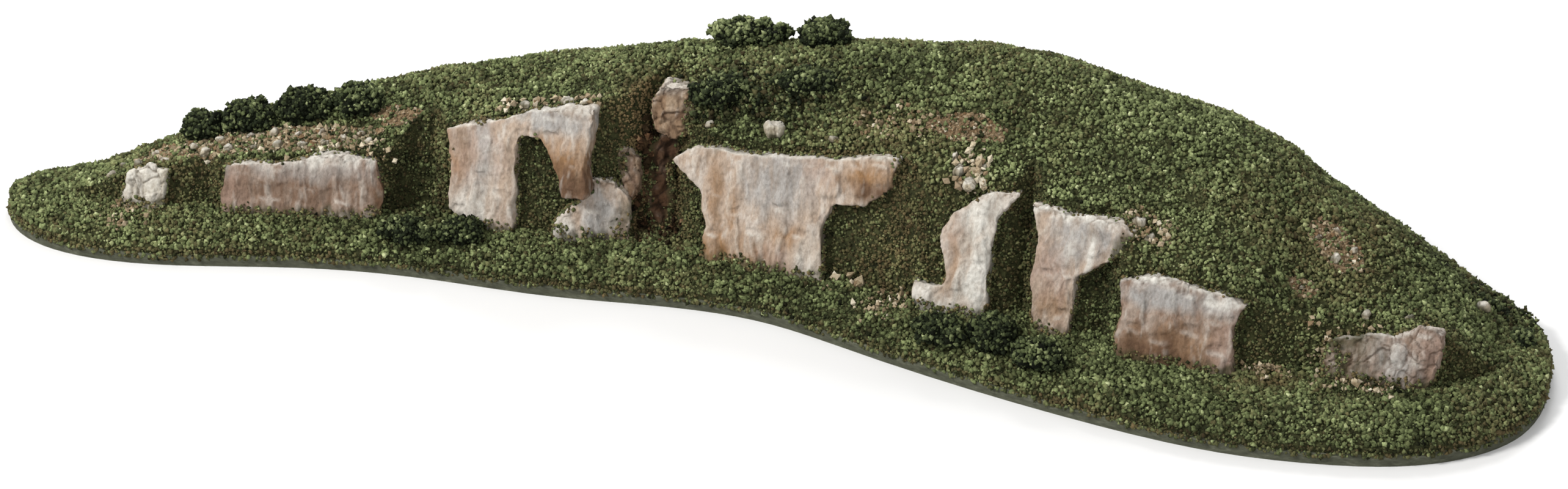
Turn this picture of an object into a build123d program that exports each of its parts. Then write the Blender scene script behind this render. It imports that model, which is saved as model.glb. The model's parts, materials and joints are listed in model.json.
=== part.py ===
from build123d import *
import math
import os

os.makedirs("parts", exist_ok=True)

# A scenic hill for a gaming or railway table: a long crescent of high ground with a
# row of cast rock faces along its front, standing on a thin board.
# Millimetres. +Z is up, the rock faces look towards -Y, the low tip is at -X.
# The origin is under the middle of the board, on the table.

BOARD_THICK = 3.0       # hardboard
BOARD_BEVEL = 0.6       # sanded top edge of the board
SHEET_THICK = 13.0      # one sheet of the foam core
FOAM_SHEETS = 4
TURF_THICK = 1.0        # glued ground foam
SHELL_THICK = 2.5       # plaster cloth between turf and foam
BLANK_TOP = 62.0        # the hill is carved from a blank of this height
EDGE_HEIGHT = 4.6       # height of the hill's surface where it runs out at the back
APRON_TOP = 7.6         # plaster ground in front of the rocks
ROCK_FOOT = 5.0         # height of the line that the rock castings are set out from
ROCK_BED = 4.5          # how deep a rock casting is set into the hill
ROCK_PROUD = 1.6        # how far its face stands in front of its setting-out plane
RIB_RELIEF = 0.5        # how far the ribs stand off the face, per step of their own scale

# Outline of the board, anticlockwise from the low tip: front, right end, back.
BOARD = [
    (-200, -26), (-197, -36), (-189, -44), (-178, -48.5), (-163, -50), (-140, -47),
    (-113, -41.5), (-83, -39.5), (-50, -40.5), (-18, -38.5), (5, -40), (32, -49),
    (64, -60), (97, -69), (127, -74), (150, -73.5), (170, -69.5), (185, -61.5),
    (195, -50), (199.5, -35), (199.5, -18), (195, -3), (184, 10), (170, 25),
    (155, 41), (135, 56), (105, 68), (65, 74), (20, 73), (-25, 66),
    (-70, 52), (-110, 33), (-145, 12), (-175, -5), (-192, -15),
]

# Stations along the hill, from the low tip to the right end. At each one: x, foot of the
# front wall, how far the wall leans in over the height of the blank, and the foot of
# the back slope. Deep lean-ins are the turfed gullies between the rock faces.
STATIONS = [
    (-190, -28, 10, -20), (-183, -32, 14, -15), (-175, -34.5, 16, -10.5), (-167, -35.8, 19, -6),
    (-159, -35, 20, -1), (-151, -33.8, 20, 3), (-145, -31, 23, 7), (-140, -31.8, 13, 10),
    (-130, -30, 12.5, 16), (-119, -28, 12.5, 22), (-108, -26, 12.5, 28), (-98, -24.2, 12.5, 33),
    (-93, -19.5, 19, 36), (-88, -18.5, 20, 38), (-83, -21.8, 12.5, 41), (-75, -23, 12.5, 44),
    (-67, -23.8, 12.5, 48), (-59, -24.4, 12.5, 51), (-51, -24.6, 12.5, 54),
    (-44, -22.4, 13, 56), (-36, -20, 15, 58), (-29, -13.5, 22, 60), (-25, -14, 22, 61),
    (-20, -20.5, 18, 62), (-13, -24.6, 14.5, 64), (-5, -25.6, 14.5, 65), (4, -26.8, 14.5, 67),
    (13, -28, 14.5, 68), (22, -29.2, 14.5, 68), (29, -31.5, 17, 69), (36, -34, 19, 69),
    (44, -37, 19, 70), (50, -37.4, 19, 70), (58, -37.8, 19, 70), (66, -38.2, 19, 70),
    (70, -35, 22, 69.5), (76, -40.8, 19, 69), (82, -42, 19, 68), (87, -42.6, 19, 67.5),
    (91, -41.5, 21, 66.5), (96, -48, 19, 65.5), (104, -48.6, 19, 63), (112, -49.2, 19, 61),
    (121, -49.8, 19, 57), (129, -50, 20, 54), (138, -46.8, 24, 48), (147, -46, 23, 42),
    (154, -46.5, 23, 36), (161, -47, 23, 29), (168, -46.8, 23, 21), (176, -45, 22, 11),
    (183, -40.5, 20, 2), (188, -35, 16, -6), (192, -29, 10, -15),
]

# Cross-sections of the high ground: x, then y and height of the front lip,
# then y and height of the crest.
SECTIONS = [
    (-200, -28, 3.5, -24, 3.5), (-190, -28, 5.5, -24, 6), (-176, -31, 10.5, -19, 11),
    (-166, -31, 15, -16, 15), (-155, -30, 18, -12, 19), (-140, -29.5, 20.5, -5, 23.5),
    (-120, -26, 22, -1, 28.5), (-100, -21.5, 23.5, 3, 33.5), (-90, -16, 28, 4, 36.5),
    (-81, -17.5, 32.5, 5, 38), (-66, -18.5, 37.5, 6, 41), (-45, -18.5, 42, 6, 45),
    (-30, -10, 42, 6, 48.5), (-15, -17.5, 36.5, 6, 49.5), (0, -19.5, 37, 6, 51.5),
    (17, -21.5, 38.5, 6, 53.5), (36, -23, 41, 6, 55), (50, -27, 39, 6, 56.5),
    (66, -28.5, 38.5, 6, 55.5), (80, -32, 37.5, 5, 52.5), (94, -35, 37, 3, 49.5),
    (100, -41, 30, 2, 49), (112, -43.5, 27.5, 0, 47.5), (128, -45, 24.5, -4, 42.5),
    (140, -42, 17.5, -8, 34), (150, -42.5, 17.5, -11, 30), (160, -42.5, 18.5, -12, 26),
    (171, -41.5, 20, -15, 20.5), (177, -40, 18, -17, 17.5), (184, -36, 12, -18, 12),
    (192, -30, 5.5, -20, 5.5), (200, -30, 3.5, -22, 3.5),
]


def inset(points, amount):
    """Each point of a closed anticlockwise outline, moved square to the outline, inwards."""
    moved = []
    for i, (x, y) in enumerate(points):
        x0, y0 = points[i - 1]
        x1, y1 = points[(i + 1) % len(points)]
        run = math.hypot(x1 - x0, y1 - y0)
        moved.append((x - (y1 - y0) / run * amount, y + (x1 - x0) / run * amount))
    return moved


def between(x, rows, column):
    """Straight-line reading of one column of a list of rows sorted by x."""
    for low, high in zip(rows, rows[1:]):
        if x <= high[0]:
            share = max(0.0, (x - low[0]) / (high[0] - low[0]))
            return low[column] + share * (high[column] - low[column])
    return rows[-1][column]


def ground(x, y):
    """Height of the turf on the high ground."""
    lip_y, lip_z, crest_y, crest_z = (between(x, SECTIONS, column) for column in (1, 2, 3, 4))
    if y < crest_y:
        share = (y - lip_y) / (crest_y - lip_y)
        return lip_z + (crest_z - lip_z) * (1.3 * share - 0.3 * share * max(share, 0.0))
    back_y = max(between(x, STATIONS, 3), crest_y + 4)
    share = min(1.0, (y - crest_y) / (back_y - crest_y))
    return EDGE_HEIGHT + (crest_z - EDGE_HEIGHT) * math.cos(share * math.pi / 2)


def hill(depth):
    """The carved hill, with its whole surface lowered and drawn in by a depth."""
    first, last = STATIONS[0][0] + 2 * depth, STATIONS[-1][0] - 2 * depth
    stops = [first] + [row[0] for row in STATIONS if first + 2 < row[0] < last - 2] + [last]
    with BuildPart() as body:
        for x in stops:
            foot_y = between(x, STATIONS, 1) + depth
            back_y = between(x, STATIONS, 3) - depth
            lean = between(x, STATIONS, 2) / (BLANK_TOP - BOARD_THICK)
            lip_z = 10.0
            for _ in range(8):
                lip_y = foot_y + lean * (lip_z - BOARD_THICK)
                lip_z = max(ground(x, lip_y) - depth, BOARD_THICK + 0.5)
            top = [(lip_y, lip_z)]
            for i in range(1, 9):
                y = lip_y + (back_y - lip_y) * i / 8
                top.append((y, max(ground(x, y) - depth, BOARD_THICK + 0.5)))
            with BuildSketch(Plane.YZ.offset(x)):
                with BuildLine():
                    Polyline((back_y, top[-1][1]), (back_y, BOARD_THICK), (foot_y, BOARD_THICK), top[0])
                    Spline(*top)
                make_face()
        loft(ruled=True)
    return body.part


def apron(steps):
    """Low ground over the whole board: outlines stepping in and up from its edge."""
    with BuildPart() as body:
        for step_in, height in steps:
            with BuildSketch(Plane.XY.offset(height)):
                with BuildLine():
                    Spline(*inset(BOARD, step_in), periodic=True)
                make_face()
        loft(ruled=True)
    return body.part


def without(body, others):
    """A piece with its neighbours' room taken out of it."""
    box = body.bounding_box()
    with BuildPart() as left:
        add(body)
        for other in others:
            room = other.bounding_box()
            if all(
                getattr(box.min, axis) < getattr(room.max, axis)
                and getattr(room.min, axis) < getattr(box.max, axis)
                for axis in "XYZ"
            ):
                add(other, mode=Mode.SUBTRACT, clean=False)
    return left.part


def casting(foot, end, lean, outline, ribs, cracks, proud=ROCK_PROUD, bed=ROCK_BED):
    """One cast rock face. Its outline is drawn on a plane that stands on the line from
    foot to end and leans back; ribs stand forward from it and cracks run down it."""
    run = (Vector(*end) - Vector(*foot)).normalized()
    back = math.sin(math.radians(lean))
    rise = math.cos(math.radians(lean))
    facing = Vector(run.Y * rise, -run.X * rise, back)
    wall = Plane(origin=(foot[0], foot[1], ROCK_FOOT), x_dir=run, z_dir=facing)
    with BuildPart() as rock:
        with BuildSketch(wall.offset(-bed)):
            with BuildLine():
                Polyline(*outline, close=True)
            make_face()
        extrude(amount=bed + proud)
        for left, right, low, high, extra in ribs:
            with BuildSketch(wall):
                with BuildLine():
                    Polyline(
                        (left, low), (right, low + 0.6), (right - 0.7, high - 0.8), (left + 0.9, high),
                        close=True,
                    )
                make_face()
            extrude(amount=proud + RIB_RELIEF * (extra + 0.5), taper=28)
        for along, low, high, width, slant in cracks:
            with BuildSketch(wall.offset(-0.9)):
                with BuildLine():
                    Polyline(
                        (along, low), (along + width, low), (along + width * 0.6 + slant, high),
                        (along + slant, high), close=True,
                    )
                make_face()
            extrude(amount=8, mode=Mode.SUBTRACT)
    return rock.part


def stones(rows, shape=0.6):
    """Loose broken stones pressed into the turf: x, y, length and quarter-turn share."""
    with BuildPart() as group:
        for x, y, size, turn in rows:
            place = Location((x, y, ground(x, y) + size * 0.12), (12 * turn, 18 - 30 * turn, 90 * turn))
            outline = [
                (size * 0.5, 0), (size * 0.28, size * 0.36), (-size * 0.2, size * 0.32),
                (-size * 0.5, size * 0.08), (-size * 0.3, -size * 0.34), (size * 0.22, -size * 0.3),
            ]
            with BuildSketch(Plane(place)):
                with BuildLine():
                    Polyline(*outline, close=True)
                make_face()
            extrude(amount=size * shape * 0.5, taper=24, both=True)
    return without(group.part, [shell_body, *rocks.values()])


def foliage(x, y, level, length, width, height, heading, lumps):
    """One clump of foliage: overlapping lumps along an oval bed, trimmed to the ground."""
    turn = math.radians(heading)
    with BuildPart() as clump:
        for i in range(lumps):
            share = (i + 0.5) / lumps
            angle = i * 2.4
            reach = 0.36 * math.sqrt(share)
            along = reach * length * math.cos(angle)
            across = reach * width * math.sin(angle)
            radius = height * (0.62 - 0.16 * share)
            spot = (
                x + along * math.cos(turn) - across * math.sin(turn),
                y + along * math.sin(turn) + across * math.cos(turn),
                level + height * (0.42 - 0.14 * share),
            )
            with BuildSketch(Plane(origin=spot)):
                RegularPolygon(radius, 7, rotation=29 * i)
            extrude(amount=radius * 0.72, taper=27, both=True)
    return without(clump.part, [turf_body, apron_turf, *rocks.values()])


def whole(part):
    """The piece without the crumbs that a cut leaves beside it."""
    return part.solids().sort_by(SortBy.VOLUME)[-1]


def save(name, part):
    part.label = name
    export_step(part, f"parts/{name}.step")


# Board.
with BuildPart() as base_board:
    with BuildSketch():
        with BuildLine():
            Spline(*BOARD, periodic=True)
        make_face()
    extrude(amount=BOARD_THICK)
    chamfer(base_board.faces().sort_by(Axis.Z)[-1].edges(), BOARD_BEVEL)
base_board.part.label = "base_board"
export_step(base_board.part, "parts/base_board.step")

# The same hill at three depths gives the turf, the plaster shell and the foam core.
turf_body = hill(0)
shell_body = hill(TURF_THICK)
core_body = hill(TURF_THICK + SHELL_THICK)
apron_body = apron([(1.2, 3.0), (1.4, 4.2), (5.5, 6.2), (10.5, APRON_TOP)])
apron_turf = apron([(0.5, 3.0), (0.7, 4.6), (5.2, 7.1), (10.3, APRON_TOP + 0.9)])

# Rock faces, from the low tip to the right end.
# Ribs: left, right, low, high, how far forward. Cracks: along, low, high, width, slant.
rocks = {}
rocks["rock_low_tip"] = casting(
    (-166, -37.5), (-152, -35.5), 20,
    [(0, -0.5), (10.5, -0.5), (11.5, 7), (12.5, 13.5), (7, 15), (2.5, 12.5), (1.5, 6.5)],
    [(0.8, 5, 0.5, 6, 0.6), (4.5, 10, 2, 9, 0.2), (3, 7.5, 8, 13.5, 0.5), (7.5, 11.5, 7, 13, 0)],
    [(5, 3, 11, 0.5, -1)],
)
rocks["rock_left_ledge"] = casting(
    (-140, -33.5), (-98.5, -26), 12,
    [(1, -0.5), (42, -0.5), (42.5, 10.5), (42, 18.5), (33, 20), (25, 19), (19.5, 17.5),
     (10.5, 17.5), (1.5, 16), (0.5, 8)],
    [(1.5, 9.5, 0, 15.5, 0.2), (9, 18, 1, 9, 0.9), (10, 19, 10.5, 17, 0.4), (18, 28, 0, 12, 0.3),
     (20, 24.5, 11, 17, 0), (26, 33, 9, 18.5, 0.7), (28, 36, 1, 8.5, 0.9), (33.5, 41.5, 7, 18, 0.1),
     (36, 41.8, 0.5, 6.5, 0.5)],
    [(9.6, 3, 15, 0.6, -0.8), (25, 7, 18, 0.6, 0.9), (33, 8, 19, 0.7, -0.6), (18.6, 2, 9, 0.5, 0.5)],
)
rocks["rock_left_pillar"] = casting(
    (-82, -24), (-52, -27), 12,
    [(9.5, -0.5), (19, -0.5), (18.5, 15), (18, 24), (19.5, 29), (25, 29.5), (29.5, 22), (32, 15),
     (38, 16), (37, 24.5), (38.5, 33), (39, 39.5), (30.5, 38.5), (22, 36.5), (7, 31), (0, 28.5),
     (1, 19), (1.5, 8), (5, 3.5)],
    [(1.5, 7, 8, 28, 0.4), (5.5, 11, 3, 18, 0.9), (7, 13, 17, 29.5, 0.7), (11.5, 18, 1, 14, 0.6),
     (12.5, 17.8, 13, 30, 0.1), (17, 25, 30, 35, 0.5), (24, 31, 30.5, 37, 0.9),
     (30, 37.5, 26, 37.5, 0.4), (31.5, 36.5, 16.5, 25.5, 0.7)],
    [(7.2, 8, 26, 0.6, -1.2), (12, 6, 24, 0.6, 0.9), (24.5, 30.5, 36, 0.6, 0.6),
     (31, 23, 37, 0.7, 0.8)],
)
rocks["rock_left_lobe"] = casting(
    (-55, -27), (-34, -22), 14,
    [(3, -0.5), (22, -0.5), (22.5, 7), (22, 15), (18, 19), (12, 19), (10.5, 15.4), (6.5, 11), (2.5, 7)],
    [(3.5, 10, 0, 8, 0.6), (9, 16, 3, 12, 1.0), (12, 18, 11, 18, 0.6), (15.5, 22, 1, 11, 0.3),
     (17.5, 21.5, 10.5, 16, 0)],
    [(10.2, 1, 11, 0.6, 1.2), (16.4, 4, 17, 0.5, -0.8)],
)
rocks["rock_gully_scree"] = casting(
    (-31, -16), (-18, -14), 20,
    [(1, 1), (6.5, 1), (7, 20), (12.5, 27), (10, 29.5), (0, 26.5), (-0.5, 14)],
    [(1, 5.5, 3, 9, 0.8), (0.3, 5, 9.5, 16, 0.3), (2, 6.6, 14, 21, 1.0), (1, 6, 20.5, 26, 0.4),
     (5.5, 10.5, 21.5, 27.5, 0.8)],
    [(3.4, 6, 24, 0.6, 0.8)], bed=7,
)
rocks["rock_gully_head"] = casting(
    (-29.5, -15.5), (-17.5, -14.5), 14,
    [(-0.5, 29.6), (5.5, 28.2), (10.8, 30), (11.8, 38), (8.5, 42), (2.5, 42.5), (-1, 37.5)],
    [(0.2, 5.6, 31, 38, 0.9), (3, 8, 36.5, 41.6, 0.5), (5.5, 10.8, 30, 37, 0.5)],
    [(5.4, 31, 40.6, 0.6, -0.9)], proud=3.4, bed=6,
)
rocks["rock_gully_stub"] = casting(
    (-37.5, -21.5), (-31.5, -20.5), 20,
    [(0, 13), (6, 13.5), (6, 24), (3.5, 27), (0.5, 26)],
    [(0.6, 5, 16, 21, 0.5), (0.6, 4.6, 20.5, 26.5, 0.9)],
    [(2.6, 18, 25, 0.4, 0.5)], bed=6,
)
rocks["rock_main_face"] = casting(
    (-18, -26), (24, -31), 14,
    [(3, -0.5), (39.5, -0.5), (37, 4), (36, 16), (39, 23.5), (46, 24.5), (51.5, 28.5), (55, 38.5),
     (34, 34.5), (15, 32.5), (0.5, 32), (-5, 27.5), (3, 21), (5, 11.5)],
    [(3.8, 10, 0, 11, 0.9), (5, 10.5, 10, 22, 0.3), (-3, 4, 25, 31, 0.5), (3.5, 9.5, 20.5, 31.5, 0.1),
     (9, 16, 2, 18, 0.4), (10, 15.5, 17, 31.5, 0.6), (15, 21, 0, 13, 0.9), (16, 22, 12, 32, 0.2),
     (21, 27.5, 3, 21, 0.5), (21.5, 28, 20, 33, 0.8), (26.5, 33, 0, 15, 0.8), (27.5, 34.5, 14, 33.5, 0.3),
     (31.5, 37.5, -0.2, 6, 0.4), (33.5, 41, 24, 34.5, 0.7), (40, 47, 25.5, 35.5, 0.3),
     (46, 53, 29, 36.5, 0.8)],
    [(9.8, 3, 29, 0.6, 1.1), (15.4, 2, 24, 0.5, -0.9), (21.2, 6, 30, 0.7, 0.6), (27, 2, 19, 0.6, -0.7),
     (33.4, 18, 33, 0.6, 0.8), (40.3, 26, 34, 0.5, 0.6), (4.6, 23, 30, 0.5, 0.5)],
)
rocks["rock_hook_face"] = casting(
    (44, -39), (68, -40), 18,
    [(4.5, -0.5), (13, -0.5), (17.5, 3.5), (18.5, 9), (18, 20), (19.5, 29.5), (24, 36), (16, 35),
     (7.5, 28), (5.5, 19.5), (7.5, 13), (7, 10), (-0.5, 11), (-0.5, 6)],
    [(0, 6, 4, 10, 0.9), (4.5, 12, 0, 8, 0.5), (8, 13, 8, 19, 0.8), (7, 12.5, 18, 28, 0.3),
     (12.5, 17.8, 4, 17, 0.3), (12.5, 17.8, 16, 29, 0.9), (13, 19, 28, 34.5, 0.4)],
    [(12.2, 6, 30, 0.6, 0.8), (6.4, 1, 9, 0.6, -0.6)],
)
rocks["rock_tapered_face"] = casting(
    (72, -42), (96, -46), 18,
    [(6, -0.5), (11.5, -0.5), (12.5, 11), (12, 18.5), (20, 23.5), (25, 32), (21, 34.5), (8.5, 34),
     (-1.5, 34.5), (1.5, 25), (0.5, 15.5), (2, 7.5)],
    [(6, 11.4, 0, 9, 0.6), (2, 7, 7.5, 19, 0.3), (6.5, 12, 8.5, 20, 0.9), (1.5, 7, 18, 33.5, 0.8),
     (6.5, 13, 20, 33, 0.2), (12.5, 18.5, 23, 33.5, 0.8), (18, 23.5, 25.5, 33, 0.4)],
    [(6.8, 5, 30, 0.6, 0.5), (12.4, 20, 33, 0.6, 0.9), (18.2, 25, 33, 0.5, -0.6)],
)
rocks["rock_low_face"] = casting(
    (95, -50), (130, -52), 18,
    [(3, -0.5), (31.5, -0.5), (31.5, 5), (29.5, 14.5), (32.5, 21), (21, 23.5), (9, 24.5), (1.5, 23),
     (2.5, 14), (1.5, 7)],
    [(2.2, 9, 1, 12, 0.4), (3, 9.5, 11.5, 23, 0.8), (8.5, 16, 0, 10, 0.9), (9, 16.5, 9.5, 23.5, 0.3),
     (15.5, 23, 0.5, 13, 0.4), (16, 22.5, 12.5, 22.5, 0.8), (22, 30.5, 0, 9, 0.8),
     (22.5, 29, 8.5, 17, 0.3), (23, 31, 16, 21, 0.6)],
    [(9.2, 4, 22, 0.6, 0.6), (16, 2, 20, 0.6, -0.7), (22.8, 6, 21, 0.6, 0.7)],
)
rocks["rock_end_crag"] = casting(
    (146, -48), (176, -49), 22,
    [(0, 1.5), (10, 0.3), (20, 0.3), (26, 3), (29, 12), (29, 18), (24, 19.5), (17, 15.5), (10, 15),
     (2.5, 13), (1.5, 8)],
    [(1, 7, 2, 8, 0.4), (2, 8, 7.5, 12.5, 0), (6.5, 13, 0.5, 7, 0.8), (8, 14.5, 7, 14, 0.4),
     (13, 20, 1, 9, 0.3), (15, 21, 8.5, 14.5, 0.8), (20, 26, 3, 11, 0.8), (21, 28.5, 10.5, 18.5, 1.1)],
    [(7.2, 2, 13, 0.5, 0.6), (14.3, 3, 14, 0.5, -0.6), (20.4, 4, 16, 0.6, 0.8)],
)
# Neighbouring castings are trimmed to fit each other.
rocks["rock_left_lobe"] = without(rocks["rock_left_lobe"], [rocks["rock_left_pillar"]])
rocks["rock_gully_stub"] = without(rocks["rock_gully_stub"], [rocks["rock_left_lobe"]])
rocks["rock_gully_head"] = without(rocks["rock_gully_head"], [rocks["rock_gully_scree"]])
for name, rock in rocks.items():
    save(name, rock)

# Loose stones: x, y, length, share of a quarter turn.
loose = {}
loose["stones_low_tip"] = stones([
    (-168.5, -25.5, 2.6, 0.2), (-163.5, -26.5, 3.2, 0.7), (-160, -22.5, 2.4, 0.4),
    (-156.8, -27, 2.8, 0.1), (-165.5, -21, 2.2, 0.9), (-170.5, -29.5, 2.4, 0.5),
])
loose["stones_left_ledge"] = stones([
    (-150.5, -21.5, 3.0, 0.1), (-146, -24.8, 3.4, 0.6), (-143.6, -18.8, 2.8, 0.3),
    (-139.8, -23.2, 3.6, 0.8), (-136, -18, 3.0, 0.5), (-133.5, -22.6, 2.6, 0.2),
    (-130, -16.4, 3.4, 0.9), (-127.6, -21, 3.0, 0.4), (-123.8, -17.2, 2.8, 0.7),
    (-121, -20.8, 3.6, 0.1), (-117.4, -16, 2.6, 0.6), (-115, -19.6, 3.2, 0.3),
    (-110.6, -17.6, 3.0, 0.8), (-106.4, -15.4, 2.6, 0.2), (-103.6, -17.8, 2.8, 0.5),
])
loose["stones_pillar_top"] = stones([
    (-62.5, -14.6, 3.0, 0.3), (-57, -14.8, 2.8, 0.7), (-51.5, -14.4, 3.4, 0.1), (-47, -15, 2.6, 0.5),
])
loose["stones_main_top"] = stones([(3.2, -15.4, 6.2, 0.1), (-14.4, -13.6, 2.6, 0.6), (18.8, -17.6, 2.8, 0.4)])
loose["stones_hook_top"] = stones([
    (50.4, -21.6, 3.4, 0.9), (52.2, -25, 4.4, 0.6), (55.6, -28, 4.8, 0.8), (58.2, -23.2, 2.2, 0.3),
])
loose["stones_tapered_side"] = stones([
    (98.6, -31.6, 4.2, 0.2), (101.8, -34.6, 3.6, 0.6), (97.6, -34.8, 3.0, 0.4), (104.6, -32, 2.6, 0.8),
])
loose["stones_right_slope"] = stones([
    (141, -18, 3.2, 0.2), (145.4, -22.6, 3.6, 0.7), (149.6, -18.4, 2.8, 0.5), (144.6, -14.8, 2.6, 0.1),
    (139, -32.6, 2.8, 0.6), (181.4, -15.2, 4.4, 0.3), (155.6, -36.4, 3.0, 0.8), (165.8, -35, 3.4, 0.3),
])
for name, group in loose.items():
    save(name, group)

# Foliage: x, y, bed level, length, width, height, heading, lumps.
clumps = {
    "foliage_left_crest_1": (-150, -14, 19.5, 9.5, 7, 7.5, 10, 6),
    "foliage_left_crest_2": (-138, -12, 22.5, 11.5, 8, 8.5, 15, 7),
    "foliage_left_crest_3": (-124, -8.5, 26, 14, 8, 8, 20, 8),
    "foliage_left_crest_4": (-110, -6.5, 29, 13.5, 8, 7, 15, 8),
    "foliage_crest_light": (-11.5, 16, 49, 24, 10, 6.5, 5, 10),
    "foliage_crest_dark": (8.5, 16.5, 51, 15.5, 9, 6.5, 0, 8),
    "foliage_hillside_left": (-12, -6, 43.6, 21, 11, 6, 32, 10),
    "foliage_hillside_right": (9, -3, 47.2, 21, 11, 5.4, 8, 10),
    "foliage_left_foot_1": (-89.2, -33.8, 8, 16, 7, 5.6, 4, 7),
    "foliage_left_foot_2": (-75.4, -31.2, 8, 12, 7.5, 6.4, 12, 7),
    "foliage_hook_foot": (53.5, -50.6, 8, 14, 8, 6.4, -15, 8),
    "foliage_notch_foot": (66.5, -50.4, 8, 11, 8.5, 8, -20, 7),
    "foliage_tapered_foot": (79.5, -56.6, 8, 14.5, 8, 6.6, -10, 8),
    "foliage_right_edge_1": (183.5, -6.5, 7.5, 9, 5, 4.2, -60, 6),
    "foliage_right_edge_2": (192.2, -17.5, 7, 9, 4.6, 4, -75, 6),
}
green = {}
for name, row in clumps.items():
    green[name] = foliage(*row)
    save(name, green[name])

# Bare ground, where the turf was left off: outlines on plan.
BARE = {
    "ledge_rubble_bed": [
        (-166, -25), (-155, -26), (-141, -25.5), (-120, -22.5), (-102, -18.5), (-101, -13.5),
        (-112, -13.5), (-128, -13), (-141, -14.5), (-153, -17.5), (-164, -19.5),
    ],
    "soil_patch_left": [(-107, -9.5), (-101, -13), (-94, -12), (-91.5, -8.5), (-98, -6), (-104, -6.5)],
    "soil_patch_centre": [(40, -14), (49, -17.5), (61, -16.5), (62, -13), (54, -9.5), (44, -11)],
    "gravel_patch_right": [
        (137, -17), (141, -22), (147, -26), (153, -23.5), (152, -18), (146.5, -12.5), (140, -12.5),
    ],
    "gravel_patch_small": [(135, -33), (138.5, -35.5), (143, -34), (142.5, -31), (138, -30)],
}
bare = {}
skin = without(turf_body, [shell_body])
for name, outline in BARE.items():
    with BuildPart() as patch:
        with BuildSketch(Plane.XY.offset(BOARD_THICK)):
            with BuildLine():
                Polyline(*outline, close=True)
            make_face()
        extrude(amount=BLANK_TOP)
        add(skin, mode=Mode.INTERSECT)
    bare[name] = without(patch.part, [*rocks.values(), *loose.values()])
    save(name, bare[name])

# Turf on the high ground and its walls, with every rock, stone and bare patch let in.
with BuildPart() as turf_high_ground:
    add(skin)
    for outline in BARE.values():
        with BuildSketch(Plane.XY.offset(BOARD_THICK)):
            with BuildLine():
                Polyline(*outline, close=True)
            make_face()
    extrude(amount=BLANK_TOP, mode=Mode.SUBTRACT, clean=False)
high = without(turf_high_ground.part, [apron_body, *rocks.values(), *loose.values()])
save("turf_high_ground", whole(high))
save("turf_low_ground", whole(without(apron_turf, [apron_body, turf_body, *rocks.values()])))
save("plaster_low_ground", whole(without(apron_body, [shell_body, *rocks.values()])))
save("plaster_shell", whole(without(shell_body, [core_body, *rocks.values()])))

# Foam core in sheets.
for number in range(FOAM_SHEETS):
    with BuildPart() as foam:
        with Locations((0, 0, BOARD_THICK + (number + 0.5) * SHEET_THICK)):
            Box(500, 300, SHEET_THICK)
        add(core_body, mode=Mode.INTERSECT)
    save(f"foam_sheet_{number + 1}", without(foam.part, rocks.values()))
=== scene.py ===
import json
import math

import bpy
import numpy as np
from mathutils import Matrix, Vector
from mathutils.kdtree import KDTree


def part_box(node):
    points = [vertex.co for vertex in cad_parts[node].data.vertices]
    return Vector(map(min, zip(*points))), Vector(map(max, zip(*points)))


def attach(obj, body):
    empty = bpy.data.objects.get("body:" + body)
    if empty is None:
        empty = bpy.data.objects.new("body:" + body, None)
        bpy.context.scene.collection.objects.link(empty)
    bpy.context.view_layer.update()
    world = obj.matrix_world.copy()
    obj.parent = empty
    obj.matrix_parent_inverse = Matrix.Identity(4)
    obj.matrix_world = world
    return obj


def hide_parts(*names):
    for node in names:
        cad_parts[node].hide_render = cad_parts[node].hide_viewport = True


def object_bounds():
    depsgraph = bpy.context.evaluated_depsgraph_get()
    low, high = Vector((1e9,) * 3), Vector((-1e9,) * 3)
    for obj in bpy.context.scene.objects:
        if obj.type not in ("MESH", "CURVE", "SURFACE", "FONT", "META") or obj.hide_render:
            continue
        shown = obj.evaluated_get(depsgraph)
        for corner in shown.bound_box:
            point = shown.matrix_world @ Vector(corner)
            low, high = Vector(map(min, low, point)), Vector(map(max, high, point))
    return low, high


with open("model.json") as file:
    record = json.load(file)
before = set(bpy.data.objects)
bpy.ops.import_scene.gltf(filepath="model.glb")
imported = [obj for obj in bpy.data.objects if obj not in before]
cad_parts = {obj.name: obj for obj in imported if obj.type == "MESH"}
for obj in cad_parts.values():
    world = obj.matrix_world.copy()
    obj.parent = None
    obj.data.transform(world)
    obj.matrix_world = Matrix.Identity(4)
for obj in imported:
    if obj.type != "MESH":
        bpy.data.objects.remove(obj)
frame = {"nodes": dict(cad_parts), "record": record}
cad_low, cad_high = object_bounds()
nodes = frame["nodes"]
rng = np.random.default_rng(41)
MM = 0.001
TURF_STRIPS = 8         # pieces that the high ground's turf is made in
LOW_TURF_STRIPS = 4     # pieces that the low ground's turf is made in
ROCK_VOXEL = 0.38       # grid that a rock casting is carved on, in mm
ROCK_SMOOTHING = 12     # rounds of smoothing before it is weathered
STONE_VOXEL = 0.26      # the same for loose stones
STONE_SMOOTHING = 2
BUSH_VOXEL = 0.5        # grid that the middle of a bush is carved on, in mm


# ---------------------------------------------------------------- noise

def hashed(cell, seed):
    """A steady random number from 0 to 1 for each whole-number cell."""
    h = cell[:, 0] * 374761393 + cell[:, 1] * 668265263 + cell[:, 2] * 1274126177 + seed * 974634777
    h = (h ^ (h >> 13)) * 1103515245
    h = (h ^ (h >> 16)) & 0x7FFFFFFF
    return (h % 100003) / 100003.0


def noise(p, size, seed=0):
    """Smooth noise from -1 to 1; size in mm, one number or three."""
    q = p / np.asarray(size, float)
    base = np.floor(q).astype(np.int64)
    t = q - base
    t = t * t * (3 - 2 * t)
    total = np.zeros(len(p))
    for corner in range(8):
        step = np.array([corner & 1, corner >> 1 & 1, corner >> 2 & 1])
        weight = np.prod(np.where(step, t, 1 - t), axis=1)
        total += weight * hashed(base + step, seed)
    return total * 2 - 1


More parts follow.
